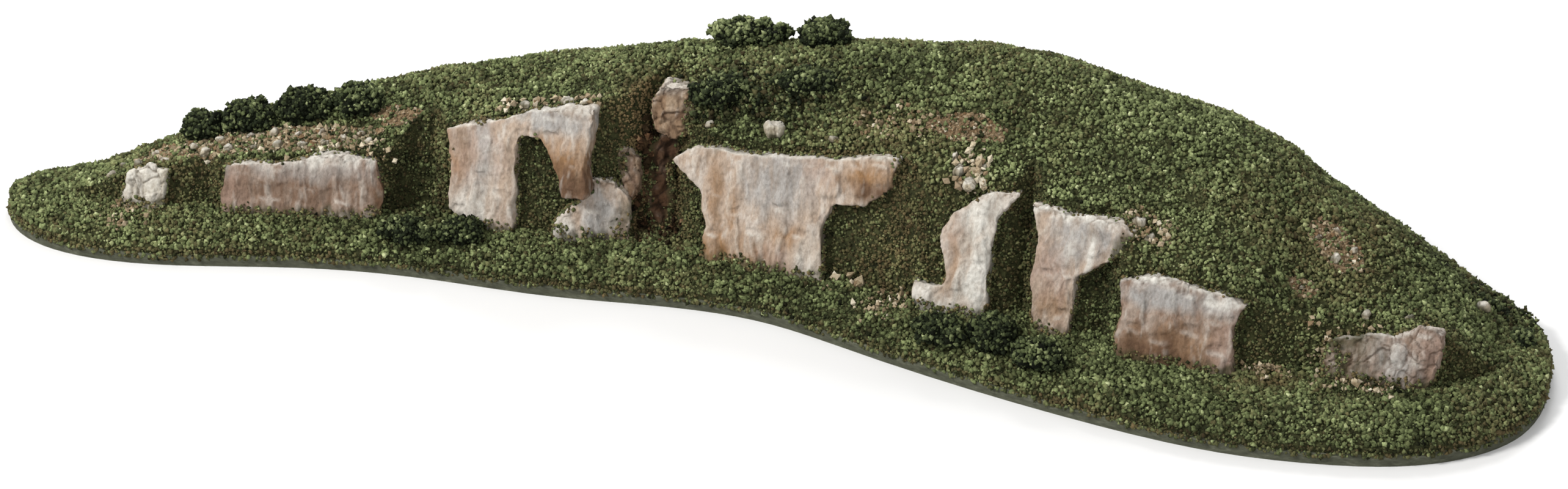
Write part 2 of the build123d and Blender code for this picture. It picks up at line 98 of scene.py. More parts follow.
def layered(p, size, seed=0, layers=3):
    size = np.asarray(size, float)
    total = np.zeros(len(p))
    for i in range(layers):
        total += noise(p, size / 2 ** i, seed + 17 * i) / 2 ** i
    return total / (2 - 2 ** (1 - layers))


def cells(p, size, seed=0):
    """For each point: how far it is from the border of its cell, and the cell's own number."""
    q = p / np.asarray(size, float)
    base = np.floor(q).astype(np.int64)
    best = np.full(len(p), 9.0)
    second = np.full(len(p), 9.0)
    own = np.zeros(len(p))
    for dx in (-1, 0, 1):
        for dy in (-1, 0, 1):
            for dz in (-1, 0, 1):
                cell = base + np.array([dx, dy, dz])
                spot = cell + np.stack([hashed(cell, seed + k) for k in (1, 2, 3)], 1)
                far = np.linalg.norm(q - spot, axis=1)
                number = hashed(cell, seed + 4)
                closer = far < best
                second = np.where(closer, best, np.minimum(second, far))
                own = np.where(closer, number, own)
                best = np.where(closer, far, best)
    return second - best, own


# ---------------------------------------------------------------- meshes

def arrays(mesh):
    """Points in mm and triangles of a mesh."""
    mesh.calc_loop_triangles()
    points = np.zeros(len(mesh.vertices) * 3)
    mesh.vertices.foreach_get("co", points)
    tris = np.zeros(len(mesh.loop_triangles) * 3, np.int32)
    mesh.loop_triangles.foreach_get("vertices", tris)
    return points.reshape(-1, 3) / MM, tris.reshape(-1, 3)


def triangle_normals(points, tris):
    a, b, c = (points[tris[:, i]] for i in range(3))
    n = np.cross(b - a, c - a)
    area = np.linalg.norm(n, axis=1)
    return n / np.maximum(area, 1e-12)[:, None], area / 2


def point_normals(points, tris):
    n, area = triangle_normals(points, tris)
    total = np.zeros_like(points)
    for i in range(3):
        np.add.at(total, tris[:, i], n * area[:, None])
    return total / np.maximum(np.linalg.norm(total, axis=1), 1e-12)[:, None]


def new_object(name, points, tris, material, smooth=True, values=None, uv=None):
    mesh = bpy.data.meshes.new(name)
    mesh.vertices.add(len(points))
    mesh.vertices.foreach_set("co", (points * MM).astype(np.float32).ravel())
    mesh.loops.add(len(tris) * 3)
    mesh.loops.foreach_set("vertex_index", tris.astype(np.int32).ravel())
    mesh.polygons.add(len(tris))
    mesh.polygons.foreach_set("loop_start", np.arange(0, len(tris) * 3, 3, dtype=np.int32))
    mesh.polygons.foreach_set("use_smooth", np.full(len(tris), smooth))
    mesh.update(calc_edges=True)
    for key, numbers in (values or {}).items():
        layer = mesh.attributes.new(key, "FLOAT", "POINT")
        layer.data.foreach_set("value", numbers.astype(np.float32))
    if uv is not None:
        layer = mesh.uv_layers.new(name="OFBake")
        layer.data.foreach_set("uv", uv.astype(np.float32).ravel())
    mesh.materials.append(material)
    thing = bpy.data.objects.new(name, mesh)
    bpy.context.scene.collection.objects.link(thing)
    return thing


def place(thing, node_names):
    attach(thing, "root")
    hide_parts(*node_names)


def solid_grid(node_names, voxel, smoothing=0):
    """The CAD nodes as one even mesh, with its corners softened: points, triangles."""
    meshes = [nodes[n].data for n in node_names]
    points, tris, start = [], [], 0
    for mesh in meshes:
        p, t = arrays(mesh)
        points.append(p)
        tris.append(t + start)
        start += len(p)
    mesh = bpy.data.meshes.new("rough")
    mesh.from_pydata((np.vstack(points) * MM).tolist(), [], np.vstack(tris).tolist())
    thing = bpy.data.objects.new("rough", mesh)
    bpy.context.scene.collection.objects.link(thing)
    grid = thing.modifiers.new("grid", "REMESH")
    grid.mode = "VOXEL"
    grid.voxel_size = voxel * MM
    if smoothing:
        soften = thing.modifiers.new("soften", "SMOOTH")
        soften.iterations = smoothing
    shaped = thing.evaluated_get(bpy.context.evaluated_depsgraph_get())
    result = arrays(shaped.to_mesh())
    shaped.to_mesh_clear()
    bpy.data.objects.remove(thing)
    return result


def scatter(points, tris, count, keep):
    """Random spots on the triangles that keep() accepts: spots, normals."""
    normals, area = triangle_normals(points, tris)
    chosen = keep(normals, points[tris].mean(1))
    weight = np.cumsum(area * chosen)
    picked = np.searchsorted(weight, rng.random(count) * weight[-1])
    u, v = rng.random(count), rng.random(count)
    flip = u + v > 1
    u, v = np.where(flip, 1 - u, u), np.where(flip, 1 - v, v)
    a, b, c = (points[tris[picked, i]] for i in range(3))
    return a + (b - a) * u[:, None] + (c - a) * v[:, None], normals[picked]


def area_of(points, tris, keep):
    normals, area = triangle_normals(points, tris)
    return float((area * keep(normals, points[tris].mean(1))).sum())


# A crumb starts as a six-pointed lump; its points are then moved at random.
LUMP = np.array([(1, 0, 0), (-1, 0, 0), (0, 1, 0), (0, -1, 0), (0, 0, 1), (0, 0, -1)], float)
LUMP_TRIS = np.array(
    [(0, 2, 4), (2, 1, 4), (1, 3, 4), (3, 0, 4), (2, 0, 5), (1, 2, 5), (3, 1, 5), (0, 3, 5)]
)
LUMP_UV = np.array([(0.9, 0.5), (0.1, 0.5), (0.5, 0.9), (0.5, 0.1), (0.55, 0.5), (0.45, 0.5)])


def crumbs(name, spots, sizes, tones, material, rough=0.38, smooth=True, dry=None):
    """Small torn lumps, each with its own shape, turn, size and tone."""
    n = len(spots)
    turn = rng.normal(size=(n, 4))
    turn /= np.linalg.norm(turn, axis=1)[:, None]
    w, x, y, z = turn.T
    spin = np.stack([
        1 - 2 * (y * y + z * z), 2 * (x * y - w * z), 2 * (x * z + w * y),
        2 * (x * y + w * z), 1 - 2 * (x * x + z * z), 2 * (y * z - w * x),
        2 * (x * z - w * y), 2 * (y * z + w * x), 1 - 2 * (x * x + y * y),
    ], 1).reshape(n, 3, 3)
    shape = LUMP[None] * (1 + rng.uniform(-rough, rough, (n, 6, 1))) + rng.uniform(-0.25, 0.25, (n, 6, 3))
    points = np.einsum("nij,nkj->nki", spin, shape) * sizes[:, None, None] + spots[:, None]
    tris = LUMP_TRIS[None] + np.arange(n)[:, None, None] * 6
    side = math.ceil(math.sqrt(n))
    corner = np.stack([np.arange(n) % side, np.arange(n) // side], 1)[:, None]
    uv = ((corner + 0.15 + 0.7 * LUMP_UV[None]) / side).reshape(-1, 2)[tris.reshape(-1)]
    values = {"tone": np.repeat(tones, 6)}
    values["dry"] = np.repeat(np.zeros(n) if dry is None else dry, 6)
    return new_object(name, points.reshape(-1, 3), tris.reshape(-1, 3), material, smooth, values, uv)


# ---------------------------------------------------------------- materials

class Look:
    """A small wrapper that keeps node trees readable."""

    def __init__(self, name):
        self.mat = bpy.data.materials.new(name)
        self.mat.use_nodes = True
        self.tree = self.mat.node_tree
        self.shader = self.tree.nodes["Principled BSDF"]

    def node(self, kind, **settings):
        n = self.tree.nodes.new(kind)
        for key, value in settings.items():
            if key in n.inputs:
                if isinstance(value, bpy.types.NodeSocket):
                    self.tree.links.new(value, n.inputs[key])
                else:
                    n.inputs[key].default_value = value
            else:
                setattr(n, key, value)
        return n

    def where(self):
        return self.node("ShaderNodeTexCoord").outputs["Object"]

    def grain(self, size_mm, detail=3.0, stretch=(1, 1, 1), rough=0.55):
        spot = self.node("ShaderNodeMapping", Vector=self.where(), Scale=stretch)
        return self.node(
            "ShaderNodeTexNoise",
            Vector=spot.outputs[0], Scale=1000.0 / size_mm, Detail=detail, Roughness=rough
        ).outputs[0]

    def value(self, name):
        return self.node("ShaderNodeAttribute", attribute_name=name).outputs["Fac"]

    def maths(self, operation, a, b=0.0, clamp=False):
        n = self.tree.nodes.new("ShaderNodeMath")
        n.operation = operation
        n.use_clamp = clamp
        for socket, value in zip(n.inputs, (a, b)):
            if isinstance(value, bpy.types.NodeSocket):
                self.tree.links.new(value, socket)
            else:
                socket.default_value = value
        return n.outputs[0]

    def between(self, value, low, high):
        n = self.tree.nodes.new("ShaderNodeMapRange")
        n.clamp = True
        n.interpolation_type = "SMOOTHSTEP"
        self.tree.links.new(value, n.inputs[0])
        n.inputs[1].default_value = low
        n.inputs[2].default_value = high
        return n.outputs[0]

    def ramp(self, value, stops):
        n = self.tree.nodes.new("ShaderNodeValToRGB")
        points = n.color_ramp.elements
        points[0].position, points[0].color = stops[0][0], (*stops[0][1], 1)
        points[1].position, points[1].color = stops[-1][0], (*stops[-1][1], 1)
        for at, colour in stops[1:-1]:
            points.new(at).color = (*colour, 1)
        self.tree.links.new(value, n.inputs[0])
        return n.outputs[0]

    def mix(self, share, a, b, blend="MIX"):
        n = self.tree.nodes.new("ShaderNodeMix")
        n.data_type = "RGBA"
        n.blend_type = blend
        for socket, value in ((n.inputs[0], share), (n.inputs[6], a), (n.inputs[7], b)):
            if isinstance(value, bpy.types.NodeSocket):
                self.tree.links.new(value, socket)
            elif isinstance(value, float):
                socket.default_value = value
            else:
                socket.default_value = (*value, 1)
        return n.outputs[2]

    def done(self, colour, rough=0.9, bump=None, depth=0.0, specular=0.25):
        self.tree.links.new(colour, self.shader.inputs["Base Color"])
        self.shader.inputs["Roughness"].default_value = rough
        self.shader.inputs["Specular IOR Level"].default_value = specular
        if bump is not None:
            n = self.node("ShaderNodeBump", Height=bump, Strength=1.0, Distance=depth * MM)
            self.tree.links.new(n.outputs[0], self.shader.inputs["Normal"])
        return self.mat


def tint(red, green, blue):
    """A colour as it is seen on paper (0 to 255), turned into the share of light it returns."""
    return tuple(
        (c / 255 / 12.92 if c < 10 else ((c / 255 + 0.055) / 1.055) ** 2.4)
        for c in (red, green, blue)
    )


def crumb_look(name, stops, dry, spread=0.3):
    """Foam or grit crumbs: each has its own tone, on top of a slow drift over the ground."""
    look = Look(name)
    drift = look.grain(9.0, 3)
    speck = look.grain(0.5, 2)
    shift = look.maths("MULTIPLY", look.maths("SUBTRACT", drift, 0.5), spread)
    tone = look.maths("ADD", look.value("tone"), shift)
    tone = look.maths("ADD", tone, look.maths("MULTIPLY", look.maths("SUBTRACT", speck, 0.5), 0.5))
    colour = look.mix(look.value("dry"), look.ramp(tone, stops), dry)
    return look.done(colour, 0.95, bump=speck, depth=0.15, specular=0.08)


turf_look = crumb_look("turf_crumbs", [
    (0.0, tint(15, 17, 9)), (0.28, tint(50, 54, 33)), (0.5, tint(86, 94, 61)),
    (0.75, tint(126, 136, 92)), (1.0, tint(182, 188, 144)),
], tint(110, 94, 66))
bush_look = crumb_look("bush_crumbs", [
    (0.0, tint(8, 10, 5)), (0.35, tint(33, 39, 25)), (0.62, tint(76, 84, 54)), (1.0, tint(148, 156, 112)),
], tint(84, 74, 50))
sand_look = crumb_look("sand_grains", [
    (0.0, tint(74, 63, 46)), (0.4, tint(130, 116, 92)),
    (0.7, tint(170, 157, 132)), (1.0, tint(202, 194, 174)),
], tint(112, 88, 64))
rust_look = crumb_look("rust_grains", [
    (0.0, tint(16, 12, 8)), (0.45, tint(50, 36, 24)), (0.78, tint(98, 72, 51)), (1.0, tint(134, 108, 82)),
], tint(40, 34, 20))


def ground_look(name, dark, light):
    look = Look(name)
    fine = look.grain(1.6, 5, rough=0.7)
    colour = look.ramp(fine, [(0.35, dark), (0.68, light)])
    return look.done(colour, 0.95, bump=fine, depth=0.5, specular=0.1)


under_turf = ground_look("under_turf", tint(24, 25, 14), tint(66, 68, 42))
bare_soil = ground_look("bare_soil", tint(78, 62, 42), tint(140, 120, 94))
pale_rubble = ground_look("pale_rubble", tint(70, 66, 46), tint(140, 132, 108))
plaster = ground_look("earth_plaster", tint(80, 68, 50), tint(128, 112, 86))
foam = ground_look("foam_sheet", tint(214, 216, 208), tint(236, 237, 232))


def board_material():
    look = Look("painted_board")
    wear = look.grain(3.0, 5, (1, 1, 3), 0.7)
    colour = look.ramp(wear, [(0.3, tint(50, 51, 40)), (0.55, tint(72, 74, 60)), (0.75, tint(100, 100, 86))])
    return look.done(colour, 0.8, bump=wear, depth=0.15)


WASHES = {
    "ochre": tint(140, 108, 76), "pink": tint(148, 126, 113), "brown": tint(96, 73, 56),
    "grey": tint(152, 150, 147), "white": tint(202, 199, 191), "moss_and_shade": tint(58, 58, 36),
}


def rock_material(name, base, pale, dirt_and_shade):
    """Cast rock: washes of colour run down it, its edges and tops are brushed white, partly as painted
    highlight, and its cracks are dark, partly as painted shade.
    """
    look = Look(name)
    streak = look.grain(2.6, 4, (1, 1, 0.16), 0.6)
    blotch = look.grain(6.0, 3, (1, 1, 0.6))
    fine = look.grain(0.8, 5, (1, 1, 0.5), 0.7)
    colour = look.mix(look.maths("MULTIPLY", look.between(streak, 0.45, 0.62), 0.55), base, pale)
    for kind in ("ochre", "pink", "brown", "grey", "white"):
        broken = look.maths("MULTIPLY", look.value(kind), look.between(streak, 0.30, 0.52))
        even = look.maths("MULTIPLY", look.value(kind), 0.55)
        share = look.maths("ADD", even, look.maths("MULTIPLY", broken, 0.45))
        colour = look.mix(share, colour, WASHES[kind])
    colour = look.mix(look.maths("MULTIPLY", look.between(blotch, 0.55, 0.75), 0.28), colour, dirt_and_shade)
    # Painted shade in part: the crack attribute darkens cracks and flute grooves, partly as a dark wash and
    # partly as shade in these recesses.
    colour = look.mix(look.maths("MULTIPLY", look.value("crack"), 0.75), colour, dirt_and_shade)
    # This mixes in dark olive: partly moss, partly painted shade where the rock meets the turf and on shaded
    # sides.
    moss_and_shade_share = look.maths("MULTIPLY", look.value("moss_and_shade"), look.between(blotch, 0.25, 0.6))
    colour = look.mix(moss_and_shade_share, colour, WASHES["moss_and_shade"])
    shade = look.ramp(fine, [(0.32, (0.66, 0.64, 0.62)), (0.58, (1.0, 1.0, 1.0))])
    return look.done(look.mix(1.0, colour, shade, "MULTIPLY"), 0.88, bump=fine, depth=0.3, specular=0.15)


cast_rock = rock_material("cast_rock", tint(164, 147, 131), tint(190, 183, 175), tint(98, 80, 61))
pink_rock = rock_material("pink_rock", tint(128, 107, 92), tint(166, 153, 141), tint(80, 61, 47))
red_rock = rock_material("red_rock", tint(70, 49, 33), tint(84, 62, 45), tint(28, 19, 12))
head_rock = rock_material("head_rock", tint(132, 109, 87), tint(166, 149, 128), tint(64, 46, 33))
loose_rock = rock_material("loose_rock", tint(158, 148, 128), tint(204, 200, 186), tint(88, 75, 56))


# ---------------------------------------------------------------- carried-over nodes

nodes["base_board"].data.materials.clear()
nodes["base_board"].data.materials.append(board_material())
for name, thing in nodes.items():
    if name.startswith("foam_"):
        look = foam
    elif name.startswith("plaster_"):
        look = plaster
    elif name.startswith("turf_"):
        look = under_turf
    elif name.startswith("soil_") or name.startswith("gravel_"):
        look = bare_soil
    elif name == "ledge_rubble_bed":
        look = pale_rubble
    else:
        continue
    thing.data.materials.clear()
    thing.data.materials.append(look)


# ---------------------------------------------------------------- turf

def upward(normals, spots):
    return normals[:, 2] > 0.04


def strip(low, high):
    """The upward ground between two places along the length, in mm."""
    return lambda normals, spots: (normals[:, 2] > 0.04) * (spots[:, 0] >= low) * (spots[:, 0] < high)


# Patches where the turf differs: a place named by the box of a piece that stands there
# (left to right and front to back shares of it), half width and half depth in mm, how much
# lighter it is, and how much drier.
# Patches with a negative lightness are painted shade: they darken the turf in the gullies, on the back slope
# at the right and beside the right ends of rocks and bushes.
PATCHES = [
    ("rock_gully_scree", 0.3, 0.3, 8, 9, -0.30, 0.55),
    ("rock_gully_stub", 0.9, 0.6, 5, 6, -0.20, 0.60),
    ("rock_main_face", 0.02, 0.6, 5, 6, 0.02, 0.35),
    ("rock_main_face", 1.0, 0.1, 10, 8, 0.0, 0.05),
    ("rock_left_ledge", 1.1, 0.6, 5, 9, -0.12, 0.2),
    ("foliage_hillside_left", 1.2, 0.5, 22, 10, -0.16, -0.1),
    ("rock_low_tip", 0.5, -0.3, 22, 14, 0.04, 0.1),
    ("rock_low_face", 1.25, 0.1, 9, 5, -0.05, 0.5),
    ("foliage_right_edge_1", -0.8, 1.0, 20, 14, -0.16, -0.05),
    ("gravel_patch_right", 0.5, 0.5, 14, 14, 0.02, 0.25),
    ("soil_patch_centre", 0.0, 0.5, 22, 7, 0.0, 0.18),
    ("stones_tapered_side", 0.5, 0.5, 8, 6, 0.0, 0.3),
    ("rock_end_crag", 0.5, 0.0, 26, 9, -0.06, 0.05),
    ("rock_tapered_face", 0.9, 2.5, 34, 14, 0.05, -0.1),
]


def place_in(node_name, across, back):
    """A spot over a piece's own box, in mm: shares from left to right and front to back."""
    low, high = (np.array(corner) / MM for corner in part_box(node_name))
    return np.array([low[0] + across * (high[0] - low[0]), low[1] + back * (high[1] - low[1])])


def patch_shift(spots):
    tone_and_shade, drier = np.zeros(len(spots)), np.zeros(len(spots))
    for node_name, across, back, wide, deep, light, dry in PATCHES:
        away = (spots[:, :2] - place_in(node_name, across, back)) / (wide, deep)
        share = np.exp(-(away ** 2).sum(1) * 1.2)
        tone_and_shade += light * share
        drier += dry * share
    return tone_and_shade, drier


def turf_layer(name, node_name, per_mm2, size_low, size_high, seed, keep, bright=0.0):
    points, tris = arrays(nodes[node_name].data)
    count = int(area_of(points, tris, keep) * per_mm2)
    spots, normals = scatter(points, tris, count, keep)
    sizes = size_low + (size_high - size_low) * rng.random(count) ** 1.4
    steep = np.clip((0.72 - normals[:, 2]) / 0.5, 0, 1)
    sizes *= (1 + 0.2 * noise(spots, 12.0, seed)) * (1 - 0.2 * steep)
    tone_and_shade, drier = patch_shift(spots)
    # The clump noise both lifts crumbs and lightens them, so raised tufts are painted lighter and the
    # hollows between them darker: painted highlight and painted shade.
    clump = layered(spots, 3.2, 73, 2)
    # Painted shade: the steep term makes turf on steep slopes darker; it also makes it browner.
    tones = 0.47 + bright + tone_and_shade + 0.12 * layered(spots, 26.0, 71, 3) + 0.20 * clump - 0.13 * steep
    tones += rng.normal(0, 0.14, count)
    dry = 0.02 + drier + 0.38 * layered(spots, 19.0, 72, 3) + 0.2 * steep + rng.normal(0, 0.12, count)
    spots = spots + normals * (sizes * rng.uniform(0.1, 0.8, count) + 0.35 * clump)[:, None]
    thing = crumbs(name, spots, sizes, np.clip(tones, 0, 1), turf_look, dry=np.clip(dry, 0, 0.85))
    place(thing, [])
    return spots, normals


LENGTH = cad_high[0] - cad_low[0]
turf_spots = []
for number in range(TURF_STRIPS):
    edges = [(cad_low[0] + LENGTH * k / TURF_STRIPS) / MM for k in (number, number + 1)]
    turf_spots.append(turf_layer(
        f"turf_high_{number + 1}", "turf_high_ground", 2.5, 0.30, 0.80, 500 + number, strip(*edges),
    ))
for number in range(LOW_TURF_STRIPS):
    edges = [(cad_low[0] + LENGTH * k / LOW_TURF_STRIPS) / MM for k in (number, number + 1)]
    turf_spots.append(turf_layer(
        f"turf_low_{number + 1}", "turf_low_ground", 2.6, 0.33, 0.86, 600 + number,
        strip(*edges), -0.02,
    ))
turf_spots, turf_normals = (np.vstack(part) for part in zip(*turf_spots))
turf_tree = KDTree(len(turf_spots))
for number, spot in enumerate(turf_spots):
    turf_tree.insert(spot, number)
turf_tree.balance()


# ---------------------------------------------------------------- rocks

# Each rock: its material, how chunky it is, and the washes on it. A wash is
# (kind, across, up, half width, half height, strength), in shares of the rock's own box.
ROCKS = {
    "rock_low_tip": (loose_rock, 0.9, [
        ("white", 0.5, 0.7, 0.6, 0.5, 0.85),
        ("brown", 0.2, 0.4, 0.15, 0.2, 0.5),
        ("moss_and_shade", 0.65, 0.25, 0.2, 0.25, 0.5),
    ]),
    "rock_left_ledge": (pink_rock, 0.12, [
        ("white", 0.5, 1.0, 0.8, 0.16, 0.9),
        ("grey", 0.6, 0.8, 0.5, 0.14, 0.5),
        ("brown", 0.45, 0.55, 0.42, 0.2, 0.6),
        ("pink", 0.08, 0.4, 0.14, 0.4, 0.9),
        ("white", 0.85, 0.12, 0.2, 0.16, 0.7),
        # Painted shadow: this narrow brown wash down the ledge's right end stands for the shadow there.
        ("brown", 1.0, 0.5, 0.05, 0.7, 1.0),
        ("moss_and_shade", 0.6, 0.05, 0.5, 0.12, 0.6),
    ]),
    "rock_left_pillar": (cast_rock, 0.15, [
        ("pink", 0.16, 0.6, 0.2, 0.35, 0.6),
        ("grey", 0.24, 0.6, 0.06, 0.4, 0.7),
        ("white", 0.2, 0.2, 0.2, 0.25, 0.7),
        ("grey", 0.72, 0.9, 0.35, 0.1, 0.9),
        ("ochre", 0.04, 0.5, 0.08, 0.3, 0.9),
        ("ochre", 0.82, 0.6, 0.24, 0.24, 1.0),
        ("brown", 0.88, 0.5, 0.18, 0.2, 1.0),
        ("pink", 0.3, 0.15, 0.2, 0.2, 0.5),
        ("white", 0.5, 1.0, 0.6, 0.04, 1.0),
        ("ochre", 0.66, 0.7, 0.1, 0.12, 0.8),
        ("brown", 0.72, 0.6, 0.06, 0.1, 0.6),
    ]),
    "rock_left_lobe": (cast_rock, 0.3, [
        ("grey", 0.65, 0.6, 0.25, 0.4, 0.9),
        # The moss washes on the right side and along the foot of this lobe are partly green tint and partly
        # painted shade.
        ("moss_and_shade", 0.95, 0.4, 0.22, 0.6, 0.85),
        ("white", 0.2, 0.3, 0.2, 0.35, 0.7),
        ("ochre", 0.4, 0.95, 0.2, 0.12, 0.7),
        ("moss_and_shade", 0.7, 0.05, 0.4, 0.15, 0.7),
    ]),
    "rock_gully_scree": (red_rock, 1.2, []),
    "rock_gully_head": (head_rock, 1.1, [
        ("white", 0.4, 0.95, 0.3, 0.12, 0.6),
        ("brown", 0.6, 0.5, 0.25, 0.12, 0.8),
    ]),
    "rock_gully_stub": (head_rock, 1.1, [
        ("pink", 0.5, 0.6, 0.5, 0.3, 0.6),
        ("brown", 0.5, 0.05, 0.6, 0.3, 0.9),
    ]),
    "rock_main_face": (cast_rock, 0.08, [
        ("white", 0.45, 1.0, 0.7, 0.045, 1.0),
        ("grey", 0.46, 0.74, 0.17, 0.25, 0.85),
        ("ochre", 0.2, 0.6, 0.03, 0.25, 0.7),
        ("ochre", 0.27, 0.5, 0.03, 0.3, 0.7),
        ("ochre", 0.52, 0.36, 0.1, 0.1, 0.8),
        ("ochre", 0.88, 0.82, 0.16, 0.12, 1.0),
        ("brown", 0.9, 0.76, 0.14, 0.08, 0.95),
        ("ochre", 0.25, 0.14, 0.26, 0.16, 1.0),
        ("pink", 0.5, 0.12, 0.12, 0.16, 0.8),
        ("white", 0.6, 0.2, 0.07, 0.2, 0.6),
        ("white", 0.08, 0.9, 0.1, 0.1, 0.8),
        ("pink", 0.62, 0.82, 0.08, 0.15, 0.5),
        ("brown", 0.45, 0.03, 0.1, 0.06, 0.7),
    ]),
    "rock_hook_face": (cast_rock, 0.12, [
        ("white", 0.75, 0.85, 0.35, 0.2, 0.95),
        ("white", 0.66, 0.45, 0.2, 0.6, 1.0),
        ("white", 0.12, 0.2, 0.2, 0.2, 0.8),
        ("ochre", 0.42, 0.5, 0.07, 0.22, 0.5),
        ("white", 0.3, 0.12, 0.4, 0.12, 0.8),
        ("pink", 0.4, 0.75, 0.1, 0.2, 0.4),
    ]),
    "rock_tapered_face": (cast_rock, 0.12, [
        ("grey", 0.5, 0.85, 0.35, 0.2, 0.9),
        ("white", 0.4, 1.0, 0.6, 0.06, 1.0),
        ("white", 0.58, 0.75, 0.05, 0.25, 0.9),
        ("pink", 0.2, 0.6, 0.2, 0.25, 0.7),
        ("ochre", 0.25, 0.35, 0.2, 0.12, 0.7),
        ("brown", 0.93, 0.82, 0.12, 0.15, 0.8),
        ("pink", 0.35, 0.12, 0.25, 0.15, 0.6),
        ("ochre", 0.7, 0.66, 0.12, 0.08, 0.7),
    ]),
    "rock_low_face": (pink_rock, 0.15, [
        ("grey", 0.4, 0.84, 0.6, 0.14, 0.95),
        ("white", 0.35, 1.0, 0.6, 0.07, 1.0),
        ("ochre", 0.4, 0.3, 0.45, 0.3, 0.75),
        ("brown", 0.32, 0.28, 0.34, 0.26, 1.0),
        ("pink", 0.88, 0.3, 0.15, 0.4, 0.9),
        ("white", 0.85, 0.86, 0.25, 0.05, 0.7),
    ]),
    "rock_end_crag": (pink_rock, 1.0, [
        ("white", 0.45, 0.6, 0.25, 0.25, 0.4),
        ("grey", 0.65, 0.5, 0.2, 0.3, 0.8),
        ("pink", 0.9, 0.7, 0.15, 0.35, 1.0),
        ("moss_and_shade", 0.15, 0.4, 0.3, 0.5, 0.95),
        ("brown", 0.4, 0.2, 0.3, 0.2, 0.6),
        ("moss_and_shade", 0.5, 0.1, 0.3, 0.2, 0.8),
    ]),
}


def weathered(name, node_names, grid, smoothing, chunky, material, washes, seed):
    """A cast rock: flutes run down its face, small blocks break its top, washes colour it."""
    points, tris = solid_grid(node_names, grid, smoothing)
    normals = point_normals(points, tris)
    low, high = points.min(0), points.max(0)
    across = (points[:, 0] - low[0]) / (high[0] - low[0])
    up = (points[:, 2] - low[2]) / (high[2] - low[2])
    wobble = points + 1.1 * np.stack([layered(points, 4.0, seed + k) for k in (5, 6, 7)], 1)
    border, own = cells(wobble, (3.4, 3.4, 5.0), seed)
    border_small, own_small = cells(wobble, (1.5, 1.5, 2.2), seed + 20)
    flutes = layered(points, (2.3, 2.3, 16.0), seed + 40, 3)
    streaks = layered(points, (0.8, 0.8, 5.0), seed + 45, 2)
    bulge = layered(points, (7.0, 7.0, 9.0), seed + 50, 2)
    top = np.clip((points[:, 2] - high[2] + 3.0) / 3.0, 0, 1)
    blocks = np.clip(chunky + 0.9 * top, 0, 1.3)
    crack = np.clip(1 - border / 0.13, 0, 1)
    crack_small = np.clip(1 - border_small / 0.14, 0, 1)
    move = (
        blocks * ((own - 0.5) * 0.9 + (own_small - 0.5) * 0.5 - 0.35 * crack - 0.15 * crack_small)
        + 0.62 * flutes + 0.30 * streaks + 0.6 * bulge + 0.16 * layered(points, 0.9, seed + 60, 2)
    ) * min(1.0, 2.2 * grid)
    sway = np.stack([layered(points, 5.5, seed + k, 2) for k in (90, 91, 92)], 1) * (1.5, 0.4, 1.2)
    shaped = points + normals * move[:, None] + sway * min(1.0, 2.2 * grid)
    values = {kind: np.zeros(len(points)) for kind in WASHES}
    ragged = layered(points, (2.2, 2.2, 7.0), seed + 80, 3)
    for kind, x, z, wide, tall, strength in washes:
        far = np.hypot((across - x) / wide, (up - z) / tall)
        cover = strength * np.clip((1.25 - far + ragged * 0.8) * 1.2, 0, 1)
        values[kind] = np.maximum(values[kind], cover)
    # White on upward faces and flute ridges: partly the cast's white dry brushing, partly painted highlight
    # where light falls from above.
    top_brush_and_highlight = np.clip((normals[:, 2] - 0.35) * 1.5, 0, 1) * 0.75 * (1 - 0.7 * values["brown"])
    ridge_brush_and_highlight = np.clip(flutes * 0.7 + streaks * 0.5 - 0.15, 0, 0.3)
    brush_and_highlight = 0.15 if material is red_rock else 1.0
    values["white"] = np.clip(np.maximum(values["white"], brush_and_highlight * np.maximum(top_brush_and_highlight, ridge_brush_and_highlight)), 0, 1)
    # The dark in the cracks and the flute grooves is partly a dark wash and partly painted shade in these
    # recesses.
    grooves = np.clip(-flutes - 0.15, 0, 1) + np.clip(-streaks - 0.3, 0, 1) * 0.5
    values["crack"] = np.clip(blocks * (crack * 0.8 + crack_small * 0.3) + grooves, 0, 1)
    near = turf_distance(shaped)
    reach = 2.9 + 2.0 * ragged
    # Near the turf the rock is darkened towards dark olive: partly moss and partly painted shade where the
    # rock meets the turf.
    turf_edge_moss_and_shade = np.clip((reach - near) * 0.55, 0, 0.8) * (1 - 0.9 * top)
    values["moss_and_shade"] = np.maximum(values["moss_and_shade"], turf_edge_moss_and_shade)
    thing = new_object(name, shaped, tris, material, values=values)
    place(thing, node_names)
    return shaped, tris, near, 1 - 0.85 * top, values["moss_and_shade"]


def turf_distance(points):
    """How far, in mm, each point is from the nearest spot of turf."""
    return np.array([turf_tree.find(p)[2] for p in points])


def creeping_turf(name, face, seed):
    """Turf that laps over the sides and foot of a rock."""
    points, tris, near, willing, moss_and_shade = face
    ragged = layered(points, (2.6, 2.6, 4.0), seed, 3)
    cover = np.clip((2.7 + 2.4 * ragged - near) * 0.8, 0, 1) * willing
    cover = np.maximum(cover, np.clip((moss_and_shade - 0.75) * 3 + ragged, 0, 1))
    normals, area = triangle_normals(points, tris)
    weight = area * cover[tris].mean(1)
    count = int(weight.sum() * 1.9)
    if count < 4:
        return
    picked = np.searchsorted(np.cumsum(weight), rng.random(count) * weight.sum())
    corner = rng.dirichlet((1, 1, 1), count)
    spots = np.einsum("nk,nkj->nj", corner, points[tris[picked]])
    sizes = rng.uniform(0.28, 0.62, count)
    tones = np.clip(0.40 + rng.normal(0, 0.17, count), 0, 1)
    dry = np.clip(rng.normal(0.25, 0.3, count), 0, 0.9)
    thing = crumbs(name, spots + normals[picked] * sizes[:, None] * 0.35, sizes, tones, turf_look, dry=dry)
    place(thing, [])


